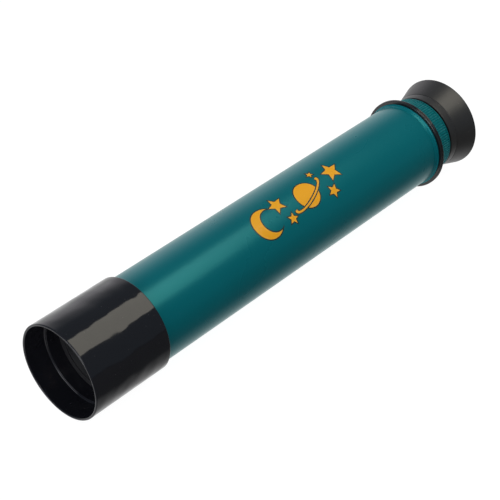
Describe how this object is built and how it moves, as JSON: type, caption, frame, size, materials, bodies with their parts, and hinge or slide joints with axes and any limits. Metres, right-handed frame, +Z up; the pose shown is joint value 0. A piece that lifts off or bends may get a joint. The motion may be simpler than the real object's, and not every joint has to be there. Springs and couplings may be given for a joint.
{
  "type": "spyglass",
  "caption": "Hand-held spyglass with a wide hood at the front, a long plain tube, a ribbed twist ring that focuses the eyepiece, and a flared soft eyecup.",
  "frame": {"origin": "on the optical axis at the middle of the tube ring that holds it, half way between the hood's front lip and the eyecup's rim with the eyepiece turned in", "axes": "+X along the optical axis from the hood to the eyecup, +Z up, +Y to the left of someone who looks along +X; the spyglass lies level"},
  "size_m": [0.247, 0.0446, 0.0446],
  "materials": {
    "hood_black": "glossy moulded black",
    "tube_teal": "satin teal, fine even surface",
    "ring_teal": "satin teal, moulded in colour",
    "inner_black": "matt black, moulded",
    "cap_black": "semi-gloss moulded black",
    "cup_rubber": "soft matt dark grey",
    "seal_rubber": "matt black",
    "felt": "pressed felt",
    "steel": "bright",
    "lens_glass": "polished, coated",
    "print_orange": "orange print on the tube"
  },
  "bodies": {
    "barrel": {"hood": "hood_black", "main_tube": "tube_teal", "objective_cell": "inner_black", "objective_ring": "inner_black", "objective_gasket": "seal_rubber", "crown_lens": "lens_glass", "objective_spacer": "inner_black", "flint_lens": "lens_glass", "front_baffle": "inner_black", "rear_baffle": "inner_black", "relay_tube": "inner_black", "relay_mount_front": "inner_black", "relay_mount_rear": "inner_black", "relay_front_lens": "lens_glass", "relay_rear_lens": "lens_glass", "relay_front_ring": "inner_black", "relay_rear_ring": "inner_black", "relay_stop": "inner_black", "rear_cap": "cap_black", "cap_seal": "seal_rubber", "guide_sleeve": "inner_black", "guide_screw_1": "steel", "guide_screw_2": "steel", "guide_screw_3": "steel", "barrel_clip": "inner_black"},
    "focus": {"grip_ring": "ring_teal", "cam_barrel": "inner_black", "damping_ring": "felt"},
    "eyepiece": {"draw_tube": "inner_black", "drive_pin_1": "steel", "drive_pin_2": "steel", "eyepiece_cell": "inner_black", "field_stop": "inner_black", "eyepiece_ring": "inner_black", "field_lens": "lens_glass", "eyepiece_spacer": "inner_black", "eye_lens": "lens_glass", "eyecup": "cup_rubber"}
  },
  "joints": [
    {"name": "focus_turn", "type": "hinge", "parent": "barrel", "child": "focus", "pos_m": [0.1, 0, 0], "axis": [1, 0, 0], "range_deg": [0, 210]},
    {"name": "eyepiece_slide", "type": "slide", "parent": "barrel", "child": "eyepiece", "axis": [1, 0, 0], "range_m": [0, 0.007]}
  ],
  "couplings": [
    {"joint": "eyepiece_slide", "follows": "focus_turn", "m_per_rad": 0.0019099}
  ]
}
